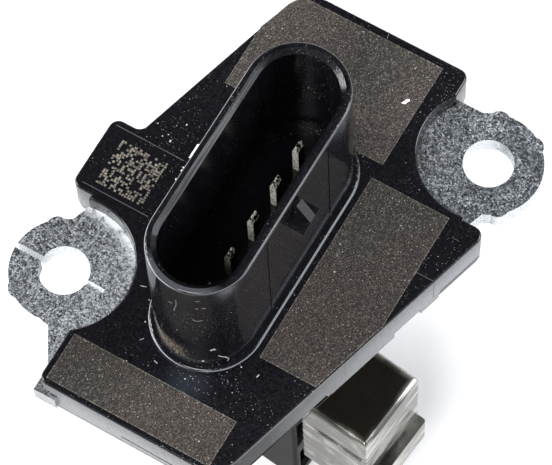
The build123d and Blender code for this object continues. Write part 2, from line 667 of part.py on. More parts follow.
# ---------------------------------------------------------------- circuit board and its parts
board_x, board_length = span(CHAMBER_BACK, BOARD_FRONT)
board_z, board_height = span(BOARD_BOTTOM, BOARD_TOP)

with BuildPart() as circuit_board:
    with BuildSketch(probe_side(BOARD_HALF)):
        with Locations((board_x, board_z)):
            Rectangle(board_length, board_height)
    extrude(amount=BOARD_THICKNESS)

shield_x = SHIELD_BACK + SHIELD_LENGTH / 2
with BuildPart() as control_chip:
    with BuildSketch(probe_side(BOARD_HALF + CHIP_HEIGHT)):
        with Locations((shield_x, board_z)):
            Rectangle(CHIP_SIZE, CHIP_SIZE)
    extrude(amount=CHIP_HEIGHT)
    chip_top = control_chip.faces().sort_by(Axis(PROBE_ORIGIN, ACROSS))[-1]
    chamfer(chip_top.edges(), length=CHIP_BEVEL)


def make_capacitor(index):
    """One chip capacitor in the row under the terminal strips."""
    chord = SHAFT_MIDDLE + CAPACITOR_PITCH * (index - (CAPACITOR_COUNT - 1) / 2)
    with BuildPart() as capacitor:
        with BuildSketch(probe_side(BOARD_HALF + CAPACITOR_HEIGHT)):
            with Locations((chord, STRIP_END - CAPACITOR_DROP)):
                Rectangle(CAPACITOR_WIDTH, CAPACITOR_LENGTH)
        extrude(amount=CAPACITOR_HEIGHT)
    return capacitor


capacitors = [make_capacitor(index) for index in range(CAPACITOR_COUNT)]

carrier_z, carrier_height = span(DUCT_TOP - CARRIER_REACH, BOARD_BOTTOM + CARRIER_LAP)
with BuildPart() as sensor_carrier:
    with BuildSketch(probe_side(-BOARD_HALF)):
        with Locations((SHAFT_MIDDLE, carrier_z)):
            Rectangle(CARRIER_WIDTH, carrier_height)
    extrude(amount=CARRIER_THICKNESS)

with BuildPart() as sensor_chip:
    with BuildSketch(probe_side(-BOARD_HALF - CARRIER_THICKNESS)):
        with Locations((SHAFT_MIDDLE, DUCT_TOP - CARRIER_REACH / 2)):
            Rectangle(ELEMENT_LENGTH, ELEMENT_WIDTH)
    extrude(amount=ELEMENT_THICKNESS)

with BuildPart() as temperature_leads:
    with BuildSketch(probe_front(CHAMBER_BACK + LEAD_LAP)):
        with Locations(*[(lead_across, height) for height in lead_heights]):
            Circle(LEAD_RADIUS)
    extrude(amount=window_x - CHAMBER_BACK - LEAD_LAP)

with BuildPart() as temperature_bead:
    with Locations(probe_point(window_x, lead_across) + UP * window_z):
        Sphere(BEAD_RADIUS)
    add(temperature_leads.part, mode=Mode.SUBTRACT)

# ---------------------------------------------------------------- shield box
with BuildPart() as shield_lid:
    with BuildSketch(probe_level(SHIELD_LEDGE_Z)):
        with Locations((shield_x, 0)):
            Rectangle(SHIELD_LENGTH, SHIELD_WIDTH)
    extrude(amount=LID_HEIGHT)
    fillet(shield_lid.edges().filter_by(Axis.Z), radius=SHIELD_SHEET)
    # bead pressed along both long sides
    for turn in (1, -1):
        with BuildSketch(probe_front(SHIELD_BACK + SHIELD_BEND)):
            with Locations((turn * SHIELD_WIDTH / 2, SHIELD_BEAD_Z)):
                Circle(SHIELD_BEAD)
        extrude(amount=SHIELD_LENGTH - 2 * SHIELD_BEND)
    fillet(shield_lid.faces().sort_by(Axis.Z)[-1].edges(), radius=SHIELD_BEND)
    with BuildSketch(probe_level(SHIELD_LEDGE_Z)):
        with Locations((shield_x, 0)):
            Rectangle(SHIELD_LENGTH - 2 * SHIELD_SHEET, SHIELD_WIDTH - 2 * SHIELD_SHEET)
    extrude(amount=LID_HEIGHT - SHIELD_SHEET, mode=Mode.SUBTRACT)
    # relief at each folded corner
    for chord in (SHIELD_BACK, SHIELD_FRONT):
        for side in (-SHIELD_WIDTH / 2, SHIELD_WIDTH / 2):
            with Locations(probe_point(chord, side) + UP * SHIELD_TOP):
                Sphere(SHIELD_RELIEF, mode=Mode.SUBTRACT)
    # slot over the circuit board
    with BuildSketch(probe_front(SHIELD_BACK)):
        with Locations((0, slot_z)):
            Rectangle(slot_width, slot_height)
    extrude(amount=SHIELD_SHEET, mode=Mode.SUBTRACT)

with BuildPart() as shield_tray:
    with BuildSketch(probe_level(SHIELD_BOTTOM)):
        with Locations((SHIELD_BACK, 0)):
            Rectangle(SHIELD_LENGTH + SHIELD_LEDGE, SHIELD_WIDTH, align=(Align.MIN, Align.CENTER))
    extrude(amount=TRAY_HEIGHT)
    fillet(shield_tray.edges().filter_by(Axis.Z), radius=SHIELD_SHEET)
    with BuildSketch(probe_level(SHIELD_BOTTOM + SHIELD_SHEET)):
        with Locations((SHIELD_BACK + SHIELD_SHEET, 0)):
            Rectangle(
                SHIELD_LENGTH + SHIELD_LEDGE - 2 * SHIELD_SHEET,
                SHIELD_WIDTH - 2 * SHIELD_SHEET,
                align=(Align.MIN, Align.CENTER),
            )
    extrude(amount=TRAY_HEIGHT - 2 * SHIELD_SHEET, mode=Mode.SUBTRACT)
    with BuildSketch(probe_level(SHIELD_LEDGE_Z)):
        with Locations((SHIELD_BACK + SHIELD_SHEET, 0)):
            Rectangle(
                SHIELD_LENGTH - 2 * SHIELD_SHEET,
                SHIELD_WIDTH - 2 * SHIELD_SHEET,
                align=(Align.MIN, Align.CENTER),
            )
    extrude(amount=-SHIELD_SHEET, mode=Mode.SUBTRACT)

# ---------------------------------------------------------------- files
os.makedirs("parts", exist_ok=True)

pieces = {
    "flange_housing": flange_housing,
    "mounting_plate": mounting_plate,
    "probe_body": probe_body,
    "probe_cover": probe_cover,
    "sealing_ring": sealing_ring,
    "sealing_resin": sealing_resin,
    "circuit_board": circuit_board,
    "control_chip": control_chip,
    "sensor_carrier": sensor_carrier,
    "sensor_chip": sensor_chip,
    "temperature_leads": temperature_leads,
    "temperature_bead": temperature_bead,
    "shield_lid": shield_lid,
    "shield_tray": shield_tray,
}
for number, terminal in enumerate(terminals, start=1):
    pieces[f"terminal_{number}"] = terminal
for number, capacitor in enumerate(capacitors, start=1):
    pieces[f"capacitor_{number}"] = capacitor

for name, piece in pieces.items():
    piece.part.label = name
    export_step(piece.part, f"parts/{name}.step")
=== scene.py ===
"""Look of the mass airflow sensor: materials, laser marks, dust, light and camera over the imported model."""
import math
import random

import bmesh
import bpy
from mathutils import Matrix, Vector


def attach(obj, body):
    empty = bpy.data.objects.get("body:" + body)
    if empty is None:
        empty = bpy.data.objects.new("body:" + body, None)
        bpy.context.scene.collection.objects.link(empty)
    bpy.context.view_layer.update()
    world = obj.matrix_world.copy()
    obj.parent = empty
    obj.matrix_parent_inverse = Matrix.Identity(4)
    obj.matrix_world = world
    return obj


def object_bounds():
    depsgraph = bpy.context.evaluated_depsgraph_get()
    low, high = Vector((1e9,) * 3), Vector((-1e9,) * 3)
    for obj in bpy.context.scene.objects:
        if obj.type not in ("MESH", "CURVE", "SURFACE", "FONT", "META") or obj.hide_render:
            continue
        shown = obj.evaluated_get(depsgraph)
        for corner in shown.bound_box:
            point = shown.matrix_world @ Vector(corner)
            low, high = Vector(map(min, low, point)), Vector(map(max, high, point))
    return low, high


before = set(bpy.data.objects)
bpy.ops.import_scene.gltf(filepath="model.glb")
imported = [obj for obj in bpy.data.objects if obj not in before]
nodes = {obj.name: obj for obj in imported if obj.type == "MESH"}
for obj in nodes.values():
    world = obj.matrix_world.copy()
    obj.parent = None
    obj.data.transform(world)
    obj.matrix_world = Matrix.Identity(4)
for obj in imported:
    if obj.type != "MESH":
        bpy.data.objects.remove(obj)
cad_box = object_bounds()
MM = 0.001

# places and sizes of the sensor, in millimetres
BOLT_X, BOLT_Y = 17.8, 17.9  # one bolt hole at +x +y, the other at -x -y
RECESS_REACH = 9.0  # round a bolt hole: takes in its recess, which is 8.3 in radius
SHROUD_X, SHROUD_Y = 0.2, -5.25  # middle of the connector's shroud
SHROUD_TOP, LEAD_IN = 27.3, 0.6  # its rim's top, and the depth of the chamfer inside it
TOP = 5.1  # flange's top face
PAD_TOP = 5.25  # code pad's top face
BOTTOM = cad_box[0][2] / MM
LID_TURN = math.radians(6)  # the shield lid's turn in plan
LID_END, LID_MIDDLE, LID_HALF_WIDTH = 15.65, 1.35, 5.75  # its far end, middle line and half width


def direction(azimuth, elevation):
    """Unit vector from the sensor to a camera or lamp; angles in radians, azimuth 0 at the front."""
    return Vector((
        math.sin(azimuth) * math.cos(elevation),
        -math.cos(azimuth) * math.cos(elevation),
        math.sin(elevation),
    ))


# ------------------------------------------------------------ camera
AZIMUTH, ELEVATION, ROLL = math.radians(33.64), math.radians(67.0), math.radians(-3.52)
TARGET = Vector((1.47, -2.70, TOP)) * MM
DISTANCE = 420.8 * MM
FOCAL_PIXELS, PICTURE_WIDTH = 3690, 552

back = direction(AZIMUTH, ELEVATION)
right = Vector((math.cos(AZIMUTH), math.sin(AZIMUTH), 0))
up = back.cross(right)
cam_x = math.cos(ROLL) * right + math.sin(ROLL) * up
cam_y = -math.sin(ROLL) * right + math.cos(ROLL) * up
camera = bpy.data.objects.new("camera", bpy.data.cameras.new("camera"))
bpy.context.scene.collection.objects.link(camera)
camera.data.sensor_fit = "HORIZONTAL"
camera.data.sensor_width = 36
camera.data.lens = FOCAL_PIXELS / PICTURE_WIDTH * camera.data.sensor_width
camera.data.clip_start = 0.01
camera.data.clip_end = 10
turn = Matrix((cam_x, cam_y, back)).transposed().to_4x4()
camera.matrix_world = Matrix.Translation(TARGET + back * DISTANCE) @ turn
bpy.context.scene.camera = camera


# ------------------------------------------------------------ material helpers
class Nodes:
    """Shorthand for a node tree: a call adds nodes and returns their last output."""

    def __init__(self, name):
        self.material = bpy.data.materials.new(name)
        self.material.use_nodes = True
        self.tree = self.material.node_tree
        self.shader = self.tree.nodes["Principled BSDF"]
        self.place = self.tree.nodes.new("ShaderNodeTexCoord").outputs["Object"]
        axes = self.tree.nodes.new("ShaderNodeSeparateXYZ")
        self.put(axes.inputs[0], self.place)
        self.x, self.y, self.z = axes.outputs

    def put(self, socket, value):
        if isinstance(value, bpy.types.NodeSocket):
            self.tree.links.new(value, socket)
        elif isinstance(value, (tuple, list)) and len(value) == 3 and len(socket.default_value) == 4:
            socket.default_value = (*value, 1)
        else:
            socket.default_value = value

    def noise(self, scale, detail=2.0, rough=0.5, vector=None):
        n = self.tree.nodes.new("ShaderNodeTexNoise")
        self.put(n.inputs["Vector"], vector or self.place)
        n.inputs["Scale"].default_value = scale
        n.inputs["Detail"].default_value = detail
        n.inputs["Roughness"].default_value = rough
        return n.outputs["Fac"]

    def cells(self, scale, vector=None, out="Distance"):
        n = self.tree.nodes.new("ShaderNodeTexVoronoi")
        self.put(n.inputs["Vector"], vector or self.place)
        n.inputs["Scale"].default_value = scale
        return n.outputs[out]

    def stretch(self, scale, turn=(0, 0, 0)):
        n = self.tree.nodes.new("ShaderNodeMapping")
        self.put(n.inputs["Vector"], self.place)
        n.inputs["Scale"].default_value = scale
        n.inputs["Rotation"].default_value = turn
        return n.outputs["Vector"]

    def math(self, op, a, b=0.0, clamp=False):
        n = self.tree.nodes.new("ShaderNodeMath")
        n.operation = op
        n.use_clamp = clamp
        self.put(n.inputs[0], a)
        self.put(n.inputs[1], b)
        return n.outputs[0]

    def remap(self, value, low, high, to_low=0.0, to_high=1.0):
        n = self.tree.nodes.new("ShaderNodeMapRange")
        self.put(n.inputs["Value"], value)
        n.inputs["From Min"].default_value = low
        n.inputs["From Max"].default_value = high
        n.inputs["To Min"].default_value = to_low
        n.inputs["To Max"].default_value = to_high
        return n.outputs[0]

    def fade(self, value, start, end, low=0.0, high=1.0):
        """Ramp between two places in millimetres."""
        return self.remap(value, start * MM, end * MM, low, high)

    def times(self, first, *others):
        for other in others:
            first = self.math("MULTIPLY", first, other)
        return first

    def plus(self, first, *others):
        for other in others:
            first = self.math("ADD", first, other)
        return first

    def most(self, first, *others):
        for other in others:
            first = self.math("MAXIMUM", first, other)
        return first

    def toward(self, east, north, start, end):
        """Mask of faces that look along a level direction."""
        lean = self.plus(self.times(self.tilt(0), east), self.times(self.tilt(1), north))
        return self.remap(lean, start, end)

    def mix(self, factor, a, b):
        n = self.tree.nodes.new("ShaderNodeMix")
        n.data_type = "RGBA"
        self.put(n.inputs["Factor"], factor)
        self.put(n.inputs["A"], a)
        self.put(n.inputs["B"], b)
        return n.outputs["Result"]

    def split(self, vector, axis):
        n = self.tree.nodes.new("ShaderNodeSeparateXYZ")
        self.put(n.inputs[0], vector)
        return n.outputs[axis]

    def away(self, x, y):
        """Distance in metres from an upright axis at x, y in millimetres."""
        dx = self.math("SUBTRACT", self.x, x * MM)
        dy = self.math("SUBTRACT", self.y, y * MM)
        return self.math("SQRT", self.plus(self.math("POWER", dx, 2.0), self.math("POWER", dy, 2.0)))

    def tilt(self, axis):
        """One component of the surface's normal."""
        return self.split(self.tree.nodes.new("ShaderNodeNewGeometry").outputs["Normal"], axis)

    def bump(self, height, strength, distance):
        n = self.tree.nodes.new("ShaderNodeBump")
        n.inputs["Strength"].default_value = strength
        n.inputs["Distance"].default_value = distance
        self.put(n.inputs["Height"], height)
        self.put(self.shader.inputs["Normal"], n.outputs[0])

    def set(self, **values):
        for key, value in values.items():
            self.put(self.shader.inputs[key.replace("_", " ")], value)
        return self.material


# ------------------------------------------------------------ masks and materials
def specks(n, scale, radius, share):
    """Mask of small round specks: one in some of the cells, radius in metres."""
    dots = n.math("LESS_THAN", n.cells(scale), radius * scale)
    chosen = n.math("LESS_THAN", n.split(n.cells(scale, out="Color"), 0), share)
    return n.math("MULTIPLY", dots, chosen)


def dusty(n, amount, outside):
    """Mask of dust in three sizes that lies in clumps, thin inside the socket."""
    clump = n.remap(n.noise(170, 3), 0.44, 0.64)
    layers = []
    for scale, radius, share, spread, strength in (
        (3300, 0.05, 0.70, 0.10, 0.30),
        (1700, 0.06, 0.40, 0.06, 0.70),
        (700, 0.08, 0.20, 0.25, 1.00),
    ):
        dots = specks(n, scale, radius * MM, share * amount)
        dots = n.math("MULTIPLY", dots, n.plus(clump, spread), True)
        layers.append(n.times(dots, strength))
    return n.times(n.most(*layers), n.remap(outside, 0, 1, 0.15, 1.0))


def scratched(n, amount):
    """Mask of hair scratches in two directions."""
    line_a = n.math("LESS_THAN", n.cells(260, n.stretch((0.08, 1.6, 0.3), (0, 0, 0.9))), 0.012)
    line_b = n.math("LESS_THAN", n.cells(230, n.stretch((1.5, 0.07, 0.3), (0, 0, 0.35))), 0.010)
    return n.times(n.most(line_a, line_b), 0.14 * amount)


def painted_wall_light(n, tone):
    """Pale side walls of the flange: their pale grey is painted light, the reflection of floor and lamps at a
    grazing view, over a spark-erosion texture, with painted shade on their upper band and towards the front
    of the walls facing right: the tone, the walls' mask, the mask of their shaded front end.
    """
    upright = n.remap(n.math("SUBTRACT", 1.0, n.math("ABSOLUTE", n.tilt(2))), 0.75, 0.97)
    skirt = n.times(n.fade(n.z, TOP, 4.4), n.fade(n.z, -3.0, -2.4))
    recesses = n.times(
        n.fade(n.away(BOLT_X, BOLT_Y), RECESS_REACH - 0.2, RECESS_REACH + 0.2),
        n.fade(n.away(-BOLT_X, -BOLT_Y), RECESS_REACH - 0.2, RECESS_REACH + 0.2),
    )
    wall = n.times(upright, skirt, recesses)
    texture = n.remap(n.noise(3000, 3, 0.6), 0.3, 0.7)
    # painted light: the walls' grazing reflection of floor and lamps, as pale grey over their texture
    pale = n.mix(texture, (0.145, 0.152, 0.162), (0.245, 0.254, 0.266))
    # painted shade: the walls' upper band is darker
    upper = n.mix(0.5, pale, (0.030, 0.030, 0.034))
    tone = n.mix(wall, tone, n.mix(n.fade(n.z, 4.5, 1.5), upper, pale))
    # painted shade: walls facing right grow dark towards the front
    shaded_end = n.times(wall, n.fade(n.y, -2.0, -24.0), n.remap(n.tilt(0), 0.5, 0.9))
    return n.mix(n.times(shaded_end, 0.97), tone, (0.010, 0.0105, 0.012)), wall, shaded_end


def glinting(n, tone, from_x, from_y):
    """Painted highlights: bright lines on the rounded edges of the shroud's rim and collar, and soft painted
    reflections near them.
    """
    level = n.tilt(2)
    outward = n.plus(n.times(n.tilt(0), from_x), n.times(n.tilt(1), from_y))
    outward = n.math("GREATER_THAN", outward, 0.0)
    slope = n.times(n.remap(level, 0.40, 0.52), n.remap(level, 0.80, 0.70))
    rim = n.fade(n.z, SHROUD_TOP - 0.4, SHROUD_TOP - 0.3)
    collar = n.times(n.fade(n.z, 5.6, 5.7), n.fade(n.z, 6.4, 6.3))
    south_west = n.toward(-0.75, -0.65, 0.36, 0.60)
    south_east = n.toward(0.95, -0.25, 0.40, 0.60)
    facing = n.most(south_west, n.times(south_east, 0.36))
    glint = n.times(slope, n.most(n.times(rim, 0.55), collar), facing, outward)
    tone = n.mix(glint, tone, (0.46, 0.49, 0.55))
    # painted light: the front end of the rim's top is lighter
    lit_rim_end = n.times(n.fade(from_y, -13.5, -15.0), n.fade(n.z, SHROUD_TOP - 0.3, SHROUD_TOP - 0.18))
    tone = n.mix(n.times(lit_rim_end, n.remap(level, 0.75, 0.90)), tone, (0.048, 0.050, 0.056))
    # painted reflection on the shroud's foot
    foot = n.times(n.fade(n.z, 9.0, 6.0), n.fade(n.z, TOP - 0.05, TOP + 0.05), n.remap(level, 0.7, 0.5))
    tone = n.mix(n.times(foot, south_west), tone, (0.022, 0.025, 0.030))
    # painted reflection: a soft spot on the flange before the shroud
    spot = n.times(n.fade(n.away(2.0, -23.4), 3.2, 0.8), n.fade(n.z, 5.3, 5.2), n.remap(level, 0.9, 0.97))
    return n.mix(spot, tone, (0.015, 0.018, 0.023))


def scuffed(n, tone):
    """Tan scuff low on the shroud's round end wall."""
    across = n.times(n.fade(n.x, -4.0, -2.8), n.fade(n.x, 1.6, -0.4))
    upward = n.times(n.fade(n.z, 6.6, 7.6), n.fade(n.z, 11.2, 9.6))
    patches = n.remap(n.noise(3600, 3, 0.7), 0.42, 0.60)
    scuff = n.times(across, upward, n.fade(n.y, -19.5, -20.3), patches)
    return n.mix(n.times(scuff, 0.60), tone, (0.40, 0.33, 0.25))


def reflecting(n, sheen, shaded_end):
    """Specular level: streaky on the lead-in chamfer, low at the wall's far end and in the right recess."""
    drag = n.remap(n.noise(3800, 2, 0.6, n.stretch((1, 0.03, 1))), 0.42, 0.60)
    flatness = n.math("ABSOLUTE", n.tilt(2))
    chamfer_foot = SHROUD_TOP - LEAD_IN
    chamfer = n.times(n.fade(n.z, chamfer_foot - 0.02, chamfer_foot + 0.02), n.remap(flatness, 0.95, 0.85))
    shine = n.math("SUBTRACT", sheen, n.times(drag, chamfer, 0.26))
    shine = n.math("SUBTRACT", shine, n.times(shaded_end, 0.34), True)
    pocket = n.fade(n.away(BOLT_X, BOLT_Y), RECESS_REACH + 0.3, RECESS_REACH - 0.1)
    pocket = n.times(pocket, n.remap(flatness, 0.6, 0.4))
    patches = n.remap(n.noise(700, 2), 0.35, 0.6, 0.15, 0.38)
    return n.math("SUBTRACT", shine, n.times(pocket, patches), True)


def moulded(name, dust=1.0, sheen=0.42):
    """Glossy black moulding with dust, hair scratches and a scuff, painted darker inside the socket for
    shade, with pale side walls that are painted light, and painted highlights and reflections on the shroud.
    """
    n = Nodes(name)
    from_x = n.math("SUBTRACT", n.x, SHROUD_X * MM)
    from_y = n.math("SUBTRACT", n.y, SHROUD_Y * MM)
    beside = n.fade(n.math("ABSOLUTE", from_x), 4.6, 5.0)
    beyond = n.fade(n.math("ABSOLUTE", from_y), 14.2, 14.8)
    outside = n.most(beside, beyond)
    dirt = dusty(n, dust, outside)
    grain = n.remap(n.noise(4600, 2, 0.6), 0.35, 0.75)
    # painted shade: inside the connector's socket the moulding stays at its darkest tone
    tone = n.mix(n.times(grain, outside), (0.0022, 0.0022, 0.0030), (0.0115, 0.011, 0.0140))
    tone, wall, shaded_end = painted_wall_light(n, tone)
    tone = glinting(n, tone, from_x, from_y)
    tone = scuffed(n, tone)
    tone = n.mix(n.math("MAXIMUM", dirt, scratched(n, dust), True), tone, (0.60, 0.59, 0.57))
    gloss = n.remap(n.noise(90, 4, 0.6), 0.3, 0.75, 0.10, 0.22)
    gloss = n.math("ADD", gloss, n.times(n.most(wall, dirt), 0.25), True)
    n.bump(n.noise(2600, 2), 0.04, 0.04 * MM)
    return n.set(Base_Color=tone, Roughness=gloss, Specular_IOR_Level=reflecting(n, sheen, shaded_end))


def lasered(name, dark, light, warm):
    """Laser-marked patch: foamed brown-grey surface with fine light grains."""
    n = Nodes(name)
    grain = n.remap(n.noise(6000, 1, 0.6), 0.44, 0.60)
    worm = n.remap(n.noise(2800, 1, 0.5, n.stretch((1.6, 0.9, 1), (0, 0, 0.5))), 0.42, 0.59)
    base = n.mix(n.times(grain, n.remap(worm, 0, 1, 0.18, 1.0)), dark, light)
    base = n.mix(n.remap(n.noise(110, 2), 0.4, 0.62, 0.0, 0.6), base, n.mix(grain, dark, warm))
    sparks = n.most(n.times(specks(n, 2400, 0.06 * MM, 0.55), 0.75), specks(n, 620, 0.1 * MM, 0.45))
    base = n.mix(sparks, base, (0.40, 0.36, 0.31))
    n.bump(grain, 0.4, 0.06 * MM)
    return n.set(Base_Color=base, Roughness=0.72)


def bright_places_and_highlight(n):
    """Mask of the zinc's bright places: a painted highlight by the left recess, and bright cut edges and
    slits' grooves.
    """
    shift_x = n.times(n.math("ADD", n.x, BOLT_X * MM), 0.30)
    shift_y = n.times(n.math("ADD", n.y, BOLT_Y * MM), 0.95)
    ring = n.away(-BOLT_X, -BOLT_Y)
    # painted highlight: a pale crescent beside the left recess
    highlight_crescent = n.times(
        n.fade(n.plus(shift_x, shift_y), 5.8, 7.8),
        n.fade(ring, 6.4, 7.8),
        n.fade(ring, RECESS_REACH + 0.5, RECESS_REACH),
        n.remap(n.noise(1100, 2), 0.25, 0.5),
    )
    cut_edge = n.remap(n.math("ABSOLUTE", n.tilt(2)), 0.5, 0.2)
    groove = n.times(n.remap(n.tilt(2), 0.5, 0.9), n.fade(n.z, 2.44, 2.38))
    groove = n.times(groove, n.remap(n.noise(1500, 2), 0.3, 0.6, 0.25, 0.75))
    return n.most(highlight_crescent, n.times(cut_edge, 0.55), groove)


def zinc(name):
    """Zinc-plated steel: fine crystalline grains with flecks, rubs, a brown tint and bright places, with a
    painted highlight by the left recess and painted shade on the front corner.
    """
    n = Nodes(name)
    white = (0.92, 0.96, 1.0)
    spangle = n.split(n.cells(5600, out="Color"), 0)
    cloud = n.noise(260, 4, 0.7)
    grain = n.noise(7600, 1, 0.6)
    shade = n.plus(
        n.times(spangle, 0.44),
        n.times(grain, 0.80),
        n.times(n.noise(2300, 3, 0.65), 0.55),
        n.times(cloud, 0.42),
        # each ear is brightest next to the flange, and the right one is darker
        n.fade(n.x, -8, 8, -0.05, -0.15),
        n.fade(n.x, -24, -12, -0.34, -0.16),
        n.fade(n.x, 12, 23, 0.14, 0.06),
        n.fade(n.y, 16, 11, 0.0, 0.07),
    )
    shade = n.math("POWER", n.remap(shade, 0.70, 1.30), 2.2)
    tone = n.mix(shade, (0.100, 0.106, 0.115), white)
    flecks = n.times(specks(n, 2300, 0.1 * MM, 0.9), n.remap(cloud, 0.35, 0.55))
    rub_a = n.remap(n.noise(3600, 2, 0.6, n.stretch((0.22, 1.0, 1), (0, 0, 0.75))), 0.56, 0.66)
    rub_b = n.remap(n.noise(3400, 2, 0.6, n.stretch((1.0, 0.22, 1), (0, 0, 0.35))), 0.57, 0.67)
    rubs = n.times(
        n.most(rub_a, rub_b),
        n.remap(n.noise(420, 2), 0.40, 0.60, 0.15, 1.0),
        n.fade(n.x, -6, 6, 0.85, 0.45),
    )
    tone = n.mix(n.most(flecks, rubs), tone, white)
    patches = n.remap(n.noise(520, 3, 0.6), 0.42, 0.62)
    brown = n.times(n.fade(n.x, 15.0, 11.5), n.fade(n.x, 4, 6), patches, 0.5)
    tone = n.mix(brown, tone, n.mix(shade, (0.07, 0.065, 0.05), (0.50, 0.48, 0.42)))
    bright = bright_places_and_highlight(n)
    tone = n.mix(bright, tone, (0.93, 0.97, 1.0))
    # painted shade: the plate's front corner is darker
    corner = n.fade(n.y, -28.5, -29.2, 0.0, 0.65)
    tone = n.mix(corner, tone, n.mix(shade, (0.02, 0.02, 0.022), (0.20, 0.205, 0.215)))
    n.bump(n.plus(grain, spangle), 0.5, 0.05 * MM)
    metal = n.math("SUBTRACT", 0.85, n.times(bright, 0.6))
    return n.set(Base_Color=tone, Roughness=n.remap(spangle, 0, 1, 0.25, 0.5), Metallic=metal)


def canned(name):
    """Nickel-plated sheet of the shield box: soft level streaks on the sides, painted shade on the faces
    towards the front, and a top painted dark brown as a reflection of the shaded floor.
    """
    n = Nodes(name)
    streak = n.noise(300, 3, 0.55, n.stretch((0.55, 0.55, 2.6)))
    tone = n.mix(n.remap(streak, 0.40, 0.62), (0.075, 0.075, 0.065), (0.50, 0.49, 0.45))
    # painted shade: the faces towards the front are darker
    front = n.times(n.toward(0, -1, 0.5, 0.9), n.remap(n.noise(420, 2), 0.35, 0.6, 0.35, 0.9))
    tone = n.mix(front, tone, (0.09, 0.088, 0.078))
    # painted dark reflection: the lid's top is brown but for a bright border along its far edge and two sides
    chord = n.math("SUBTRACT", n.times(n.x, math.cos(LID_TURN)), n.times(n.y, math.sin(LID_TURN)))
    side = n.plus(n.times(n.x, math.sin(LID_TURN)), n.times(n.y, math.cos(LID_TURN)))
    side = n.math("ABSOLUTE", n.math("SUBTRACT", side, LID_MIDDLE * MM))
    to_end = n.math("SUBTRACT", LID_END * MM, chord)
    to_side = n.math("SUBTRACT", LID_HALF_WIDTH * MM, side)
    inner = n.fade(n.math("MINIMUM", to_end, to_side), 0.55, 1.15)
    tone = n.mix(n.times(n.remap(n.tilt(2), 0.95, 0.995), inner), tone, (0.052, 0.044, 0.034))
    n.bump(n.noise(700, 3), 0.03, 0.05 * MM)
    return n.set(Base_Color=tone, Roughness=n.remap(streak, 0.3, 0.7, 0.2, 0.32), Metallic=0.9)


def silicon(name):
    """Polished blue-grey face of the sensing chip, with fine level lines."""
    n = Nodes(name)
    patch = n.noise(900, 4, 0.65)
    lines = n.noise(500, 2, 0.5, n.stretch((1, 1, 14)))
    tone = n.mix(n.remap(patch, 0.35, 0.7), (0.10, 0.11, 0.16), (0.22, 0.23, 0.30))
    n.bump(n.plus(patch, lines), 0.01, 0.05 * MM)
    return n.set(Base_Color=tone, Roughness=n.remap(lines, 0.3, 0.7, 0.08, 0.16), Metallic=0.6)


def pinned(name):
    """Tin-plated blade: dark mirror-like broad faces, rough bright sheared edges and tip ridge."""
    n = Nodes(name)
    patch = n.remap(n.noise(3800, 3, 0.7, n.stretch((1, 1, 0.45))), 0.36, 0.62)
    edge = n.mix(patch, (0.34, 0.30, 0.21), (1.0, 0.98, 0.90))
    tip = n.times(n.fade(n.z, 12.4, 13.0), n.remap(n.noise(2600, 1), 0.45, 0.55))
    rough_face = n.most(n.toward(0, -1, 0.6, 0.9), tip)
    return n.set(
        Base_Color=n.mix(rough_face, (0.12, 0.11, 0.105), edge),
        Roughness=n.remap(rough_face, 0, 1, 0.18, 0.4),
        Metallic=n.remap(rough_face, 0, 1, 1.0, 0.15),
    )


def plain(name, low, high, rough, scale, bump=0.1):
    """Matte or satin material with two mottled tones."""
    n = Nodes(name)
    patch = n.noise(scale, 4, 0.6)
    n.bump(n.noise(scale * 6, 2), bump, 0.05 * MM)
    return n.set(
        Base_Color=n.mix(n.remap(patch, 0.3, 0.7), low, high),
        Roughness=n.remap(patch, 0.2, 0.8, rough - 0.08, rough + 0.08),
    )


def laminate(name):
    """Green solder mask with darker copper tracks under it."""
    n = Nodes(name)
    tracks = n.math("GREATER_THAN", n.cells(900, n.stretch((1, 1, 0.4))), 0.55)
    tone = n.mix(tracks, (0.012, 0.10, 0.045), (0.02, 0.17, 0.07))
    n.bump(tracks, 0.2, 0.03 * MM)
    return n.set(Base_Color=tone, Roughness=n.remap(n.noise(800), 0.3, 0.7, 0.28, 0.4))


# ------------------------------------------------------------ finishes
BLACK = moulded("black_moulding")
PROBE_BLACK = moulded("probe_moulding", 0.5, 0.02)
MARK = lasered("laser_mark", (0.010, 0.0082, 0.0068), (0.112, 0.095, 0.081), (0.100, 0.073, 0.060))
DARK_MARK = lasered(
    "laser_mark_dark", (0.0055, 0.0045, 0.0036), (0.082, 0.069, 0.057), (0.074, 0.050, 0.040)
)
EDGE_MARK = lasered("laser_edge", (0.04, 0.036, 0.031), (0.20, 0.18, 0.155), (0.20, 0.17, 0.14))
CODE = lasered("laser_code", (0.09, 0.08, 0.068), (0.33, 0.295, 0.245), (0.30, 0.25, 0.20))
ZINC = zinc("zinc_plate")
TIN = pinned("tin_plate")
NICKEL = canned("nickel_plate")
RUBBER = plain("seal_rubber", (0.010, 0.010, 0.011), (0.022, 0.022, 0.024), 0.62, 900)
RESIN = plain("potting_resin", (0.02, 0.02, 0.024), (0.045, 0.045, 0.05), 0.35, 250, 0.05)
CHIP = plain("chip_plastic", (0.012, 0.012, 0.012), (0.03, 0.03, 0.03), 0.6, 1500)
CERAMIC = plain("ceramic", (0.36, 0.26, 0.17), (0.52, 0.40, 0.28), 0.4, 1200)
SILICON = silicon("silicon")
LAMINATE = laminate("solder_mask")
LINT = plain("lint", (0.30, 0.27, 0.24), (0.62, 0.58, 0.52), 0.7, 3000)
FAINT = plain("faint_lint", (0.07, 0.068, 0.066), (0.17, 0.165, 0.16), 0.7, 3000)
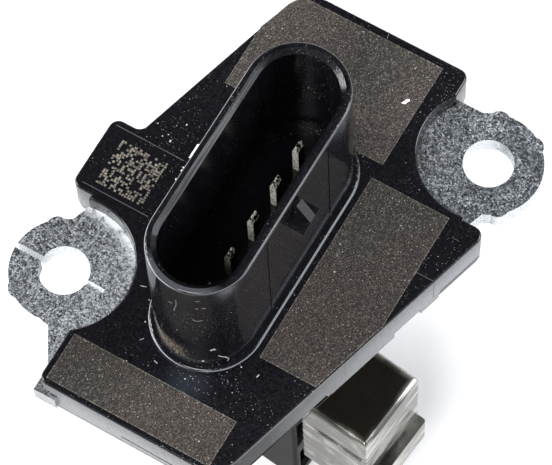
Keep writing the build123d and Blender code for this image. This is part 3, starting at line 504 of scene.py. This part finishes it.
# painted shade: near-black strips stand in for the shade in gaps
SHADE = plain("painted_gap_shade", (0.004, 0.004, 0.004), (0.008, 0.008, 0.008), 0.6, 2500)
CHIP_WHITE = plain("white_chip", (0.75, 0.75, 0.74), (0.95, 0.95, 0.94), 0.6, 3000)
SEAM = plain("seam_line", (0.035, 0.036, 0.042), (0.085, 0.088, 0.098), 0.45, 2500)
PAPER = Nodes("paper").set(Base_Color=(0.80, 0.79, 0.785), Roughness=0.9, Specular_IOR_Level=0.0)

FINISH = {
    "flange_housing": BLACK,
    "mounting_plate": ZINC,
    "probe_body": PROBE_BLACK,
    "probe_cover": PROBE_BLACK,
    "sealing_ring": RUBBER,
    "sealing_resin": RESIN,
    "circuit_board": LAMINATE,
    "control_chip": CHIP,
    "capacitor": CERAMIC,
    "sensor_carrier": CERAMIC,
    "sensor_chip": SILICON,
    "temperature_leads": TIN,
    "temperature_bead": RESIN,
    "shield_lid": NICKEL,
    "shield_tray": NICKEL,
    "terminal": TIN,
}
for name, node in nodes.items():
    family = name.rstrip("_0123456789")
    node.data.materials.clear()
    node.data.materials.append(FINISH[family])


# ------------------------------------------------------------ mesh helpers
def mesh_object(name, bm, material):
    """Makes an object of a bmesh."""
    mesh = bpy.data.meshes.new(name)
    bm.normal_update()
    bm.to_mesh(mesh)
    bm.free()
    mesh.materials.append(material)
    obj = bpy.data.objects.new(name, mesh)
    bpy.context.scene.collection.objects.link(obj)
    return obj


def piece(name, bm, material):
    """Makes a thin piece that rides on the sensor."""
    obj = mesh_object(name, bm, material)
    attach(obj, "root")


def slab(bm, outline, base, height, sink):
    """Adds a flat slab from a plan outline; height above the base face and sink below it."""
    face = bm.faces.new([bm.verts.new((x * MM, y * MM, (base - sink) * MM)) for x, y in outline])
    made = bmesh.ops.extrude_face_region(bm, geom=[face])
    for vert in made["geom"]:
        if isinstance(vert, bmesh.types.BMVert):
            vert.co.z = (base + height) * MM


def ribbon(bm, points, width, normal=None):
    """Adds a thin raised strip along points; without a normal it lies on the shroud's end wall."""
    rows = []
    for i, point in enumerate(points):
        p = Vector(point)
        way = (Vector(points[min(i + 1, len(points) - 1)]) - Vector(points[max(i - 1, 0)])).normalized()
        out = Vector(normal) if normal else Vector((p.x - SHROUD_X, p.y - END_Y, 0)).normalized()
        across = way.cross(out).normalized() * width / 2
        lift = out * RIBBON_RISE
        rows.append([bm.verts.new((p + shift) * MM) for shift in (across, lift, -across)])
    for low, high in zip(rows, rows[1:]):
        bm.faces.new((low[0], high[0], high[1], low[1]))
        bm.faces.new((low[1], high[1], high[2], low[2]))


def rectangle(x, y, width, height):
    """Plan outline from its lower left corner."""
    return [(x, y), (x + width, y), (x + width, y + height), (x, y + height)]


def arc(cx, cy, radius, start, end, steps):
    """Points on an arc, in degrees."""
    angles = [math.radians(start + (end - start) * i / steps) for i in range(steps + 1)]
    return [(cx + radius * math.cos(a), cy + radius * math.sin(a)) for a in angles]


def offset(points, reach):
    """Moves each corner of an outline outwards by the given reach."""
    area = sum(a[0] * b[1] - b[0] * a[1] for a, b in zip(points, points[1:] + points[:1]))
    sign = 1 if area > 0 else -1
    grown = []
    for i, (x, y) in enumerate(points):
        (px, py), (nx, ny) = points[i - 1], points[(i + 1) % len(points)]
        a, b = math.hypot(x - px, y - py), math.hypot(nx - x, ny - y)
        ax, ay = sign * (y - py) / a, -sign * (x - px) / a
        bx, by = sign * (ny - y) / b, -sign * (nx - x) / b
        share = reach / (1 + ax * bx + ay * by)
        grown.append((x + (ax + bx) * share, y + (ay + by) * share))
    return grown


# ------------------------------------------------------------ sizes that the thin pieces share
RIBBON_RISE = 0.045
MARK_SINK, MARK_RISE, EDGE_RISE = 0.02, 0.02, 0.012
END_Y, END_RADIUS = -15.55, 6.12  # axis and radius of the shroud's round end wall
SLANT_ANGLE = math.radians(16)  # turn of the flange's right wall in plan
SLANT = math.tan(SLANT_ANGLE)
WALL_X = 19.8  # that wall's x at y = 0
FRONT_Y = -31.5  # front wall
UP, FRONT = (0, 0, 1), (0, -1, 0)
WALL_OUT = (math.cos(SLANT_ANGLE), -math.sin(SLANT_ANGLE), 0)
RIM_OUT = (-0.7, 0, 0.7)


def right_wall(y, z):
    """Place on the flange's slanted right wall."""
    return WALL_X + SLANT * y, y, z


def end_wall(x, z):
    """Place on the shroud's round end wall."""
    return x, END_Y - math.sqrt(END_RADIUS ** 2 - (x - SHROUD_X) ** 2), z


# ------------------------------------------------------------ laser marks
WALL_MARGIN = 0.27  # between the right mark and the slanted wall
RIGHT_MARK_X, RIGHT_MARK_Y = 17.66, -16.65  # its straight right side and its front side
EDGE_BORDER = 0.09  # how far the pale worn edge reaches past a mark
BACK_MARK = (
    [(-13.17, 10.74), (7.76, 10.74), (7.76, 24.68), (-10.6, 24.68)]
    + arc(-8.14, 21.6, 3.93, 132, 163, 6)
    + [(-13.17, 19.0)]
)
RIGHT_MARK = [
    (7.65, 8.58),
    (7.65, RIGHT_MARK_Y),
    (WALL_X - WALL_MARGIN + SLANT * RIGHT_MARK_Y, RIGHT_MARK_Y),
    (RIGHT_MARK_X, (RIGHT_MARK_X - WALL_X + WALL_MARGIN) / SLANT),
    (RIGHT_MARK_X, 8.58),
]
FRONT_MARK = rectangle(-11.89, -30.72, 21.09, 5.95)
for label, outline, material in (
    ("a", BACK_MARK, MARK),
    ("b", RIGHT_MARK, DARK_MARK),
    ("c", FRONT_MARK, DARK_MARK),
):
    bm = bmesh.new()
    slab(bm, outline, TOP, MARK_RISE, MARK_SINK)
    piece("laser_mark_" + label, bm, material)
    bm = bmesh.new()
    slab(bm, offset(outline, EDGE_BORDER), TOP, EDGE_RISE, MARK_SINK)
    piece("laser_edge_" + label, bm, EDGE_MARK)

# ------------------------------------------------------------ code pattern
# random small squares, not a readable code; the last column and the first row are nearly full
rng = random.Random(7)
CODE_COUNT = 18
CODE_X, CODE_Y = -19.7, -7.6
CELL_X, CELL_Y = 6.2 / CODE_COUNT, 6.1 / CODE_COUNT
bm = bmesh.new()
for i in range(CODE_COUNT):
    for j in range(CODE_COUNT):
        lit = rng.random() < 0.5
        if i == CODE_COUNT - 1 or j == 0:
            lit = rng.random() < 0.93
        if not lit:
            continue
        width, height = CELL_X * rng.uniform(0.66, 0.98), CELL_Y * rng.uniform(0.66, 0.98)
        square = rectangle(CODE_X + i * CELL_X, CODE_Y + j * CELL_Y, width, height)
        slab(bm, square, PAD_TOP, EDGE_RISE, MARK_SINK)
piece("code_pattern", bm, CODE)

# ------------------------------------------------------------ lint and crumbs
# hairs on the shroud's round end wall: x and z of each point, then the width
FAINT_HAIRS = (
    (((-0.4, 22.6), (0.1, 22.7)), 0.10),
    (((0.6, 24.3), (0.6, 23.0), (0.2, 20.9)), 0.10),
    (((2.8, 25.3), (3.2, 25.4)), 0.12),
    (((2.7, 23.2), (3.0, 23.2)), 0.14),
    (((3.3, 23.4), (3.7, 23.3)), 0.16),
    (((2.3, 20.1), (2.5, 19.6), (2.9, 19.6), (3.3, 19.9)), 0.13),
)
WALL_HAIRS = (
    (((3.7, 10.7), (4.0, 11.0), (4.1, 10.8)), 0.32),
    (((4.3, 8.9), (4.6, 8.3), (4.9, 7.8), (5.1, 7.0), (5.0, 6.5)), 0.13),
    (((2.8, 7.4), (3.0, 7.7)), 0.25),
)
# hairs on the flange's top: x and y of each point, then the width
TOP_HAIRS = (
    (((8.5, -19.0), (8.6, -18.6)), 0.12),
    (((-8.6, -16.0), (-7.9, -15.8)), 0.08),
    (((-5.2, -21.7), (-4.9, -21.3)), 0.08),
    (((-2.5, -23.0), (-2.0, -23.1)), 0.09),
    (((-13.2, -6.0), (-12.8, -6.2), (-12.5, -6.8)), 0.09),
    (((-12.8, -6.2), (-12.4, -5.6), (-12.0, -5.6)), 0.09),
)
# crumbs there: x, y and size
CRUMBS = (
    (6.4, -18.8, 0.22), (5.3, -20.1, 0.20), (-14.3, 3.8, 0.26), (-15.5, 1.7, 0.22), (-16.0, 1.2, 0.22),
    (-14.9, 1.1, 0.34), (-17.3, 2.3, 0.20), (-6.8, -17.0, 0.20), (-5.8, -19.5, 0.20),
)
CRUMB_RISE, CRUMB_SINK = 0.06, 0.01


def crumb(x, y, size):
    """Ragged outline of a crumb."""
    outline = []
    for angle in (0.3, 1.3, 2.4, 3.3, 4.4, 5.4):
        shift_x = size / 2 * rng.uniform(0.6, 1.1) * math.cos(angle)
        shift_y = size / 2 * rng.uniform(0.6, 1.1) * math.sin(angle)
        outline.append((x + shift_x, y + shift_y))
    return outline


bm = bmesh.new()
for points, width in FAINT_HAIRS:
    ribbon(bm, [end_wall(x, z) for x, z in points], width)
piece("faint_lint", bm, FAINT)

bm = bmesh.new()
for points, width in WALL_HAIRS:
    ribbon(bm, [end_wall(x, z) for x, z in points], width)
for points, width in TOP_HAIRS:
    ribbon(bm, [(x, y, TOP) for x, y in points], width, UP)
for x, y, size in CRUMBS:
    slab(bm, crumb(x, y, size), TOP, CRUMB_RISE, CRUMB_SINK)
piece("lint", bm, LINT)

# ------------------------------------------------------------ white chips
# one on the back mark, and a row on the shroud's rim, each with its places along y and its width
CHIP_RISE = 0.08
CHIP_OUTLINE = [(5.8, 18.5), (6.3, 18.6), (6.4, 19.0), (6.6, 19.2), (6.4, 19.4), (6.1, 19.2), (6.0, 18.9)]
RIM_X, RIM_Z = -5.93, SHROUD_TOP - 0.14
RIM_CHIPS = (
    ((-7.6, -6.9, -6.5, -5.7), 0.42),
    ((-9.0, -8.8), 0.26),
    ((-9.4, -9.2), 0.24),
    ((-10.6, -10.4), 0.20),
)
bm = bmesh.new()
slab(bm, CHIP_OUTLINE, TOP, CHIP_RISE, 0)
for places, width in RIM_CHIPS:
    ribbon(bm, [(RIM_X, y, RIM_Z) for y in places], width, RIM_OUT)
piece("white_chips", bm, CHIP_WHITE)

# ------------------------------------------------------------ seam lines and painted shade of gaps
# raised mould lines: beside the code, on the flange's top and down the right wall
FLAT_SEAMS = (
    (((-21.4, -0.28), (-12.2, -0.28)), PAD_TOP),
    (((-21.0, -8.32), (-12.2, -8.32)), PAD_TOP),
    (((0.1, 25.75), (0.3, 24.9)), TOP),
    (((17.7, 1.0), (19.9, 1.0)), TOP),
)
FLAT_SEAM_WIDTH, WALL_SEAM_WIDTH = 0.10, 0.12
WALL_SEAM_LOW, WALL_SEAM_HIGH = 0.3, 4.8
bm = bmesh.new()
for points, z in FLAT_SEAMS:
    ribbon(bm, [(x, y, z) for x, y in points], FLAT_SEAM_WIDTH, UP)
for y in (1.0, -12.5):
    ribbon(bm, [right_wall(y, WALL_SEAM_LOW), right_wall(y, WALL_SEAM_HIGH)], WALL_SEAM_WIDTH, WALL_OUT)
piece("seam_lines", bm, SEAM)

# dark strips of painted shade where gaps lie: on the right wall near its back corner, low on the same wall,
# and on the front wall
GAP_SHADE = (
    ([right_wall(y, 0.26) for y in (2.0, 4.0, 6.0, 8.1)], 0.36, WALL_OUT),
    ([right_wall(y, -0.93) for y in (-19.9, -18.0, -16.0, -14.6)], 0.26, WALL_OUT),
    ([(x, FRONT_Y, z) for x, z in ((-1.9, 1.1), (1.2, 0.96), (4.2, 0.84), (7.5, 0.8))], 0.34, FRONT),
)
bm = bmesh.new()
for points, width, out in GAP_SHADE:
    ribbon(bm, points, width, out)
piece("painted_gap_shade", bm, SHADE)

# ------------------------------------------------------------ floor
FLOOR_GAP = 1.2  # between the probe's lowest point and the floor
FLOOR_HALF, FLOOR_THICKNESS = 900, 5
bm = bmesh.new()
square = rectangle(-FLOOR_HALF, -FLOOR_HALF, 2 * FLOOR_HALF, 2 * FLOOR_HALF)
slab(bm, square, BOTTOM - FLOOR_GAP, 0, FLOOR_THICKNESS)
floor = mesh_object("floor", bm, PAPER)

# ------------------------------------------------------------ sky
world = bpy.data.worlds.new("studio")
bpy.context.scene.world = world
world.use_nodes = True
tree = world.node_tree
path = tree.nodes.new("ShaderNodeLightPath")


def choose(ray, other_sky, ray_sky):
    """Shows one sky to a kind of ray and another to the rest."""
    n = tree.nodes.new("ShaderNodeMixShader")
    tree.links.new(path.outputs[ray], n.inputs[0])
    tree.links.new(other_sky.outputs[0], n.inputs[1])
    tree.links.new(ray_sky.outputs[0], n.inputs[2])
    return n


# what lights the sensor
plain_sky = tree.nodes["Background"]
plain_sky.inputs["Color"].default_value = (0.93, 0.96, 1.0, 1)
plain_sky.inputs["Strength"].default_value = 0.45
# what its gloss mirrors: white at the horizon, dark overhead
mirror_sky = tree.nodes.new("ShaderNodeBackground")
coord = tree.nodes.new("ShaderNodeTexCoord")
axes = tree.nodes.new("ShaderNodeSeparateXYZ")
tree.links.new(coord.outputs["Generated"], axes.inputs[0])
ramp = tree.nodes.new("ShaderNodeValToRGB")
tree.links.new(axes.outputs["Z"], ramp.inputs[0])
stops = ramp.color_ramp.elements
stops[0].position, stops[0].color = 0.0, (1, 1, 1, 1)
stops[1].position, stops[1].color = 0.95, (0.05, 0.055, 0.065, 1)
for position, level in ((0.25, 0.75), (0.5, 0.30), (0.75, 0.09)):
    stop = stops.new(position)
    stop.color = (level, level * 1.02, level * 1.06, 1)
tree.links.new(ramp.outputs[0], mirror_sky.inputs["Color"])
# what the camera sees
white_sky = tree.nodes.new("ShaderNodeBackground")
white_sky.inputs["Color"].default_value = (1, 1, 1, 1)
lighting = choose("Is Glossy Ray", plain_sky, mirror_sky)
seen = choose("Is Camera Ray", lighting, white_sky)
tree.links.new(seen.outputs[0], tree.nodes["World Output"].inputs["Surface"])


# ------------------------------------------------------------ lamps
def softbox(name, azimuth, elevation, distance, width, height, power, color=(1, 1, 1)):
    """Area lamp that faces the flange: angles in degrees, sizes in metres, power in watts."""
    way = direction(math.radians(azimuth), math.radians(elevation))
    lamp = bpy.data.objects.new(name, bpy.data.lights.new(name, "AREA"))
    lamp.data.shape = "RECTANGLE"
    lamp.data.size, lamp.data.size_y = width, height
    lamp.data.energy = power
    lamp.data.color = color
    lamp.location = way * distance
    lamp.rotation_mode = "QUATERNION"
    lamp.rotation_quaternion = (-way).to_track_quat("-Z", "Y")
    bpy.context.scene.collection.objects.link(lamp)


softbox("overhead", 8, 52, 1.0, 0.42, 0.30, 8.0)
softbox("back", 128, 40, 0.9, 0.50, 0.35, 7.0, (0.92, 0.96, 1.0))
softbox("left", -62, 36, 0.9, 0.35, 0.25, 5.0)
softbox("right_strip", 110, 12, 1.0, 0.70, 0.22, 2.3, (0.90, 0.95, 1.0))
softbox("left_strip", -64, 8, 1.0, 0.60, 0.20, 4.0)

bpy.context.scene.view_settings.view_transform = "Standard"
